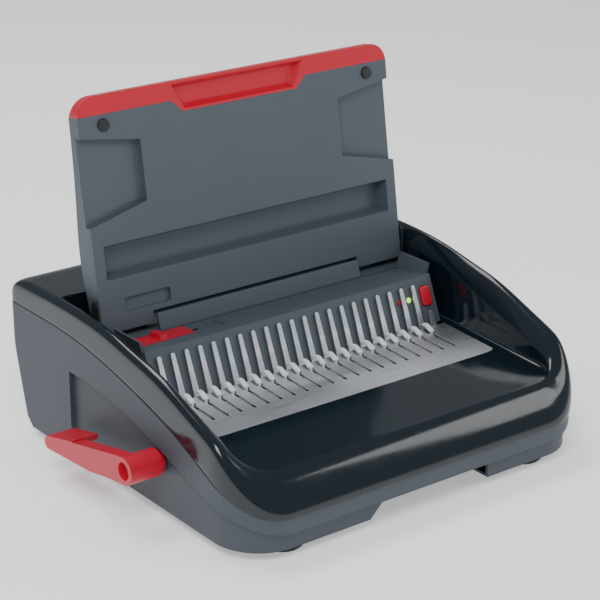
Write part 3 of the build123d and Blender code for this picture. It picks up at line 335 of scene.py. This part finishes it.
def smooth_line(points):
    """Smooth curve through (Y, Z) points, as a function of Y."""
    ys = [p[0] for p in points]
    zs = [p[1] for p in points]
    last = len(points) - 1
    slopes = []
    for i in range(last + 1):
        a, b = max(i - 1, 0), min(i + 1, last)
        slopes.append((zs[b] - zs[a]) / (ys[b] - ys[a]))

    def height(y):
        y = min(max(y, ys[0]), ys[-1])
        i = max(k for k in range(last) if ys[k] <= y)
        span = ys[i + 1] - ys[i]
        t = (y - ys[i]) / span
        return ((2 * t ** 3 - 3 * t ** 2 + 1) * zs[i] + (t ** 3 - 2 * t ** 2 + t) * span * slopes[i]
                + (3 * t ** 2 - 2 * t ** 3) * zs[i + 1] + (t ** 3 - t ** 2) * span * slopes[i + 1])
    return height


def floor_z(y):
    return 80.4 + 0.05 * y


def ease(t):
    t = min(max(t, 0.0), 1.0)
    return t * t * (3 - 2 * t)


def between(start, end, count):
    return [start + (end - start) * i / count for i in range(count + 1)]


def cover_stations():
    """Stations round the left half of the well, from its rear to the middle of the front: the stretch
    that each is on, and its Y, its angle round the corner, or its X."""
    stations = [("side", y) for y in between(WELL_REAR_Y, FRONT_Y + FRONT_R, 26)]
    stations += [("corner", a) for a in between(0.0, math.pi / 2, 12)[1:]]
    stations += [("front", x) for x in between(-HALF_W + FRONT_R, 0.0, 6)[1:]]
    return stations


def station_points(kind, value):
    """One section of the cover on the left half, from the tray pocket out to the joint."""
    joint, crest, sill = smooth_line(JOINT), smooth_line(CREST), smooth_line(SILL)
    if kind == "side":
        outer = Vector((-HALF_W, value))
        inner_of = lambda lean: Vector((-WELL_HALF - lean, value))
        front = 0.0
        pocket = Vector((-TRAY_HALF, max(value, TRAY_FRONT_Y)))
    elif kind == "corner":
        turn = Vector((-math.cos(value), -math.sin(value)))
        outer = Vector((-HALF_W + FRONT_R, FRONT_Y + FRONT_R)) + turn * FRONT_R
        centre = Vector((-WELL_HALF + WELL_R, WELL_FRONT_Y + WELL_R))
        inner_of = lambda lean: centre + turn * (WELL_R + lean)
        front = ease(value / (math.pi / 2)) ** 0.8
        pocket = Vector((-TRAY_HALF, TRAY_FRONT_Y))
    else:
        outer = Vector((value, FRONT_Y))
        across_well = value * (WELL_HALF - WELL_R) / (HALF_W - FRONT_R)
        inner_of = lambda lean: Vector((across_well, WELL_FRONT_Y - lean))
        front = 1.0
        pocket = Vector((value * TRAY_HALF / (HALF_W - FRONT_R), TRAY_FRONT_Y))
    foot = inner_of(0.0)
    base = floor_z(foot.y)
    rise = max(sill(foot.y) - base, 0.6)
    inner = inner_of(rise * DRAFT)
    inward = (inner_of(0.0) - inner_of(1.0)).normalized()
    low, top = base + rise, crest(outer.y)
    bottom = joint(outer.y)
    width = (outer - inner).length
    share = (CREST_X - HALF_W + width) / width
    rows = [(pocket, floor_z(pocket.y)), (foot + inward * 3.0, floor_z((foot + inward * 3.0).y)),
            (foot + inward * 0.7, base + min(0.7, rise * 0.2)),
            (inner_of(min(3.0, rise * 0.4) * DRAFT), base + min(3.0, rise * 0.4)),
            (inner_of(rise * 0.6 * DRAFT), base + rise * 0.6),
            (inner_of(rise * 0.96 * DRAFT), base + rise * 0.96)]
    count = 12
    for step in range(count):
        if step <= 6:
            part = step / 6
            across = share * part
            height = low + (top - low) * (1 - (1 - part) ** 1.5)
        else:
            angle = (step - 6) / 5 * math.pi / 2
            across = share + (1 - share) * math.sin(angle)
            height = top - EDGE_R * (1 - math.cos(angle))
        lean = step / (count - 1) * math.pi / 2
        front_across = math.sin(lean) ** FRONT_POWER
        front_height = TOE_Z + (low - TOE_Z) * math.cos(lean) ** FRONT_POWER
        across += (front_across - across) * front
        height += (front_height - height) * front
        rows.append((inner.lerp(outer, across), height))
    shoulder = rows[-1][1]
    for part in (0.4, 0.8, 1.0):
        rows.append((outer, shoulder + (bottom - shoulder) * part))
    rows.append((outer - (outer - inner).normalized() * SKIN, bottom))
    return rows


def rear_points(kind, value):
    """One section of the cover's rear half, from the edge of the deck out to the joint."""
    if kind == "side":
        outer = Vector((-HALF_W, value))
        share = (value - WELL_REAR_Y) / (REAR_Y - REAR_R - WELL_REAR_Y)
        deck = Vector((-CREST_X, WELL_REAR_Y + share * (REAR_Y - REAR_ROUND[0] - REAR_R - WELL_REAR_Y)))
        drop = EDGE_R + (REAR_ROUND[1] - EDGE_R) * ease(share) * 0.5
    elif kind == "corner":
        turn = Vector((-math.cos(value), math.sin(value)))
        outer = Vector((-HALF_W + REAR_R, REAR_Y - REAR_R)) + turn * REAR_R
        deck = Vector((-CREST_X + REAR_R, REAR_Y - REAR_ROUND[0] - REAR_R)) + turn * REAR_R
        share = value / (math.pi / 2)
        drop = EDGE_R + (REAR_ROUND[1] - EDGE_R) * (0.5 + 0.5 * ease(share))
    else:
        outer = Vector((value, REAR_Y))
        deck = Vector((value * (CREST_X - REAR_R) / (HALF_W - REAR_R), REAR_Y - REAR_ROUND[0]))
        drop = REAR_ROUND[1]
    top = deck_z(deck.y)
    bottom = JOINT[-1][1] if kind != "side" else smooth_line(JOINT)(outer.y)
    rows = []
    for step in range(6):
        angle = step / 5 * math.pi / 2
        rows.append((deck.lerp(outer, math.sin(angle)), top - drop * (1 - math.cos(angle))))
    shoulder = rows[-1][1]
    for part in (0.4, 0.8, 1.0):
        rows.append((outer, shoulder + (bottom - shoulder) * part))
    inward = (deck - outer).normalized() if kind != "side" else Vector((1, 0))
    rows.append((outer + inward * SKIN, bottom))
    return rows


def deck_z(y):
    return DECK_Z - DECK_FALL * ease((y - WELL_REAR_Y) / (REAR_Y - WELL_REAR_Y))


def mirrored(section):
    return [(Vector((-spot.x, spot.y)), z) for spot, z in section]


def add_strip(mesh, sections, place):
    """Quads between neighbouring sections."""
    grid = [[mesh.verts.new(place(spot, z)) for spot, z in section] for section in sections]
    for first, second in zip(grid, grid[1:]):
        for i in range(len(first) - 1):
            corners = (first[i], second[i], second[i + 1], first[i + 1])
            if len({tuple(round(c, 7) for c in v.co) for v in corners}) >= 3:
                mesh.faces.new(corners)
    return grid


def make_cover(material):
    low, high = (Vector(corner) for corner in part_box("top_cover"))
    middle_x, tips_y = (low.x + high.x) / 2, low.y - FRONT_Y * MM

    def place(spot, z):
        return (middle_x + spot.x * MM, tips_y + spot.y * MM, z * MM)

    mesh = bmesh.new()
    left = [station_points(kind, value) for kind, value in cover_stations()]
    ring = left + [mirrored(section) for section in reversed(left[:-1])]
    add_strip(mesh, ring, place)
    rear = [rear_points("side", y) for y in between(WELL_REAR_Y, REAR_Y - REAR_R, REAR_SIDE_STEPS)]
    rear += [rear_points("corner", a) for a in between(0, math.pi / 2, REAR_CORNER_STEPS)[1:]]
    rear += [rear_points("rear", x) for x in between(-HALF_W + REAR_R, 0, 4)[1:]]
    rear_ring = [mirrored(section) for section in rear] + list(reversed(rear[:-1]))
    add_strip(mesh, rear_ring, place)
    # deck, its front edge and the rear wall of the well
    slope = [spot.x for spot, z in left[0][6:13]]             # from the sill out to the crest
    columns = sorted(slope) + between(slope[0], -slope[0], 12)[1:-1] + sorted(-x for x in slope)
    deck_rows = []
    for section in rear[:REAR_SIDE_STEPS + REAR_CORNER_STEPS + 1]:
        spot = section[0][0]
        deck_rows.append((spot.y, -spot.x / CREST_X))
    deck_rows.insert(1, (WELL_REAR_Y + 1.2, 1.0))
    grid = [[(Vector((x * share, y)), deck_z(y)) for x in columns] for y, share in deck_rows]
    add_strip(mesh, grid, place)
    caps = left[0][6:13]
    for section in (caps, mirrored(caps)):
        add_strip(mesh, [section, [(spot, deck_z(WELL_REAR_Y)) for spot, z in section]], place)
    wall = []
    for depth in (0.0, 1.2, 14.0, 28.0, 37.0):
        y = WELL_REAR_Y - depth * DRAFT
        above = DECK_Z - depth - floor_z(WELL_REAR_Y)
        half = -slope[0] if depth < DECK_Z - SILL[-1][1] else WELL_HALF + above * DRAFT
        wall.append([(Vector((x, y)), deck_z(WELL_REAR_Y) - depth) for x in between(-half, half, 14)])
    add_strip(mesh, wall, place)
    bmesh.ops.remove_doubles(mesh, verts=mesh.verts, dist=0.02 * MM)
    bmesh.ops.recalc_face_normals(mesh, faces=mesh.faces)
    data = bpy.data.meshes.new("cover_shell")
    mesh.to_mesh(data)
    mesh.free()
    for face in data.polygons:
        face.use_smooth = True
    cover = bpy.data.objects.new("cover_shell", data)
    bpy.context.collection.objects.link(cover)
    data.materials.append(material)
    subdivide = cover.modifiers.new("subdivide", "SUBSURF")
    subdivide.levels = subdivide.render_levels = 2
    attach(cover, "machine")
    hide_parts("top_cover")


# ---- settings --------------------------------------------------------------------------------
def colour_property(name, description, code):
    return FloatVectorProperty(name=name, description=description, subtype="COLOR", size=3,
                               min=0.0, max=1.0, default=linear(code)[:3])


class BinderColours(bpy.types.PropertyGroup):
    """Colours of the machine's finishes."""
    housing: colour_property("Housing", "Grey of the housing", "#3e464f")
    lid: colour_property("Lid", "Grey of the lid and the control panel", "#4b545d")
    cover: colour_property("Cover", "Blue-black of the glossy cover", "#0c1922")
    red: colour_property("Red", "Red of the lever, the trim and the controls", "#c8152f")


class BinderSizes(bpy.types.PropertyGroup):
    """Sizes that change the finish and not the fit."""
    housing_edge: FloatProperty(name="Housing edge", description="Rounding of the housing's edges",
                                subtype="DISTANCE", unit="LENGTH", default=0.7 * MM)
    cover_edge: FloatProperty(name="Cover edge", description="Rounding of the cover's shading edges",
                              subtype="DISTANCE", unit="LENGTH", default=0.9 * MM)
    floor_size: FloatProperty(name="Floor", description="Half width of the floor",
                              subtype="DISTANCE", unit="LENGTH", default=30.0)


class BinderStage(bpy.types.PropertyGroup):
    """The camera and the lights."""
    azimuth: FloatProperty(name="Azimuth", description="How far the camera stands to the left",
                           subtype="ANGLE", default=math.radians(37.23))
    elevation: FloatProperty(name="Elevation", description="How far the camera looks down",
                             subtype="ANGLE", default=math.radians(21.27))
    distance: FloatProperty(name="Distance", description="From the camera to the machine",
                            subtype="DISTANCE", default=1.7518)
    aim: FloatVectorProperty(name="Aim", description="Point aimed at, from the middle of the machine",
                             subtype="TRANSLATION", default=(0.0064, -0.0158, -0.0224))
    lens: FloatProperty(name="Lens", description="Focal length in millimetres", default=118.14)
    surround: FloatProperty(name="Surround", description="Brightness of the room round the stage",
                            default=0.38)
    key_power: FloatProperty(name="Key", description="Light at the front left", subtype="POWER",
                             default=24.0)
    fill_power: FloatProperty(name="Fill", description="Light at the front right", subtype="POWER",
                              default=8.0)
    top_power: FloatProperty(name="Top", description="Light above and behind", subtype="POWER",
                             default=20.0)


def hex_of(colour):
    """sRGB hex code of a linear colour."""
    srgb = [12.92 * c if c <= 0.0031308 else 1.055 * c ** (1 / 2.4) - 0.055 for c in colour]
    return "#" + "".join(f"{round(255 * c):02x}" for c in srgb)


def dress(material, *nodes):
    """Give CAD nodes a material."""
    for name in nodes:
        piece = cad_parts[name]
        if not piece.material_slots:
            piece.data.materials.append(material)
        for slot in piece.material_slots:
            slot.material = material


# ---- operators -------------------------------------------------------------------------------
class BINDER_OT_shell(bpy.types.Operator):
    """Housing, base and feet"""
    bl_idname = "binder.shell"
    bl_label = "Housing and feet"

    def execute(self, context):
        colours, sizes = context.scene.binder_colours, context.scene.binder_sizes
        dress(grained_abs("housing_abs", hex_of(colours.housing), edge_mm=sizes.housing_edge / MM),
              "housing", "chip_drawer")
        dress(grained_abs("black_abs", "#1d1f22", 0.5), "base_plate", "hinge_ear_left", "hinge_ear_right",
              "lid_bumper_left", "lid_bumper_right", "shaft_bush", "power_inlet", "rocker_frame",
              "power_rocker", "micro_switch", "drawer_runner_front", "drawer_runner_rear")
        dress(moulded_rubber("foot_rubber", "#232427"), *[f"foot_{end}_{side}"
              for end in ("front", "rear") for side in ("left", "right")])
        return {"FINISHED"}


class BINDER_OT_cover(bpy.types.Operator):
    """Glossy cover round the well"""
    bl_idname = "binder.cover"
    bl_label = "Glossy cover"

    def execute(self, context):
        colours, sizes = context.scene.binder_colours, context.scene.binder_sizes
        make_cover(polished_abs("cover_gloss_abs", hex_of(colours.cover), edge_mm=sizes.cover_edge / MM))
        return {"FINISHED"}


class BINDER_OT_lid(bpy.types.Operator):
    """Lid, its red trim and its pins"""
    bl_idname = "binder.lid"
    bl_label = "Lid"

    def execute(self, context):
        colours = context.scene.binder_colours
        dress(grained_abs("lid_abs", hex_of(colours.lid), 0.5), "lid_panel", "panel", "shelf", "upstand")
        dress(polished_abs("trim_red_abs", hex_of(colours.red), 0.3), "lid_trim", "punch_button")
        dress(ground_steel("pin_steel", "#9a9da1"), "hinge_pin_left", "hinge_pin_right", "lever_shaft",
              "cam_shaft", "eccentric_left", "eccentric_right", "motor_pinion")
        return {"FINISHED"}


class BINDER_OT_controls(bpy.types.Operator):
    """Slider, lamps and their board"""
    bl_idname = "binder.controls"
    bl_label = "Controls"

    def execute(self, context):
        red = hex_of(context.scene.binder_colours.red)
        dress(grained_abs("slider_red_abs", red, 0.38, 0.5), "margin_slider", "lever_handle")
        dress(tinted_lamp("lamp_green_cap", "#a6e04a", 2.0), "lamp_ready")
        dress(tinted_lamp("lamp_red_cap", "#a3222f", 0.0), "lamp_fault")
        dress(circuit_board("board_lacquer", "#1f5a3c"), "lamp_board", "power_board")
        return {"FINISHED"}


class BINDER_OT_comb(bpy.types.Operator):
    """Tray, fingers and hooks"""
    bl_idname = "binder.comb"
    bl_label = "Tray, fingers and hooks"

    def execute(self, context):
        dress(brushed_stainless("tray_stainless", "#dfe2e6", 0.42), "tray")
        dress(brushed_stainless("finger_stainless", "#e3e5e9", 0.38, "z"), "finger_comb")
        dress(acetal("hook_acetal", "#e9ebec"), "hook_bar")
        return {"FINISHED"}


class BINDER_OT_works(bpy.types.Operator):
    """Punch, gears, motor and power parts inside the housing"""
    bl_idname = "binder.works"
    bl_label = "Works inside"

    def execute(self, context):
        dress(zinc_steel("frame_zinc_steel", "#8d9196"), "die_plate", "punch_guide", "frame_side_left",
              "frame_side_right", "shaft_bearing_left", "shaft_bearing_right", "bearing_foot_left",
              "bearing_foot_right", "motor")
        dress(brushed_stainless("bar_aluminium", "#a3a7ac", 0.4), "punch_bar", "motor_bracket")
        dress(acetal("gear_nylon", "#d9d6c8", 0.4), "cam_gear", "lever_pinion_left", "lever_pinion_right")
        dress(grained_abs("transformer_varnish", "#3a3c40", 0.45), "transformer")
        return {"FINISHED"}


class BINDER_OT_stage(bpy.types.Operator):
    """Floor, camera and soft studio lights"""
    bl_idname = "binder.stage"
    bl_label = "Stage"

    def execute(self, context):
        settings = context.scene.binder_stage
        low, high = Vector(CAD_BOX[0]), Vector(CAD_BOX[1])
        middle = (low + high) / 2
        make_floor(low.z, context.scene.binder_sizes.floor_size)
        make_camera(context.scene, middle + Vector(settings.aim), settings)
        make_lights(context.scene, middle, settings)
        return {"FINISHED"}


def make_floor(height, size):
    mesh = bpy.data.meshes.new("floor")
    mesh.from_pydata([(-size, -size, height), (size, -size, height), (size, size, height),
                      (-size, size, height)], [], [(0, 1, 2, 3)])
    floor = bpy.data.objects.new("floor", mesh)
    bpy.context.collection.objects.link(floor)
    mesh.materials.append(white_paper())


def make_camera(scene, target, settings):
    lens = bpy.data.cameras.new("camera")
    lens.lens = settings.lens
    lens.clip_end = 50.0
    camera = bpy.data.objects.new("camera", lens)
    scene.collection.objects.link(camera)
    flat = math.cos(settings.elevation)
    ahead = Vector((math.sin(settings.azimuth) * flat, math.cos(settings.azimuth) * flat,
                    -math.sin(settings.elevation)))
    camera.location = target - ahead * settings.distance
    camera.rotation_euler = (math.pi / 2 - settings.elevation, 0, -settings.azimuth)
    scene.camera = camera


def area_light(scene, name, place, target, size, power):
    light = bpy.data.lights.new(name, "AREA")
    light.shape = "RECTANGLE"
    light.size, light.size_y = size
    light.energy = power
    lamp = bpy.data.objects.new(name, light)
    scene.collection.objects.link(lamp)
    lamp.location = place
    lamp.rotation_euler = (Vector(target) - Vector(place)).to_track_quat("-Z", "Y").to_euler()


def make_lights(scene, middle, settings):
    world = bpy.data.worlds.new("studio")
    world.use_nodes = True
    room = world.node_tree.nodes["Background"]
    room.inputs["Color"].default_value = (0.93, 0.97, 1.0, 1.0)
    room.inputs["Strength"].default_value = settings.surround
    scene.world = world
    area_light(scene, "key", middle + Vector((-1.1, -1.0, 1.7)), middle, (0.9, 0.9),
               settings.key_power)
    area_light(scene, "fill", middle + Vector((1.5, -1.2, 1.0)), middle, (0.8, 0.8),
               settings.fill_power)
    area_light(scene, "top", middle + Vector((-0.2, 0.9, 1.8)), middle, (1.4, 0.7),
               settings.top_power)


class BINDER_PT_panel(bpy.types.Panel):
    """Steps that dress the machine"""
    bl_label = "Comb Binding Machine"
    bl_idname = "BINDER_PT_panel"
    bl_space_type = "VIEW_3D"
    bl_region_type = "UI"
    bl_category = "Binder"

    def draw(self, context):
        column = self.layout.column()
        for operator in OPERATORS:
            column.operator(operator.bl_idname)
        scene = context.scene
        for settings in (scene.binder_colours, scene.binder_sizes, scene.binder_stage):
            for name in settings.bl_rna.properties.keys():
                if name not in ("rna_type", "name"):
                    column.prop(settings, name)


OPERATORS = (BINDER_OT_shell, BINDER_OT_cover, BINDER_OT_lid, BINDER_OT_controls, BINDER_OT_comb,
             BINDER_OT_works, BINDER_OT_stage)
CLASSES = (BinderColours, BinderSizes, BinderStage, *OPERATORS, BINDER_PT_panel)


def register():
    for cls in CLASSES:
        bpy.utils.register_class(cls)
    bpy.types.Scene.binder_colours = PointerProperty(type=BinderColours)
    bpy.types.Scene.binder_sizes = PointerProperty(type=BinderSizes)
    bpy.types.Scene.binder_stage = PointerProperty(type=BinderStage)


def unregister():
    del bpy.types.Scene.binder_stage
    del bpy.types.Scene.binder_sizes
    del bpy.types.Scene.binder_colours
    for cls in reversed(CLASSES):
        bpy.utils.unregister_class(cls)


def main():
    register()
    for operator in OPERATORS:
        group, step = operator.bl_idname.split(".")
        getattr(getattr(bpy.ops, group), step)()


if __name__ == "__main__":
    main()
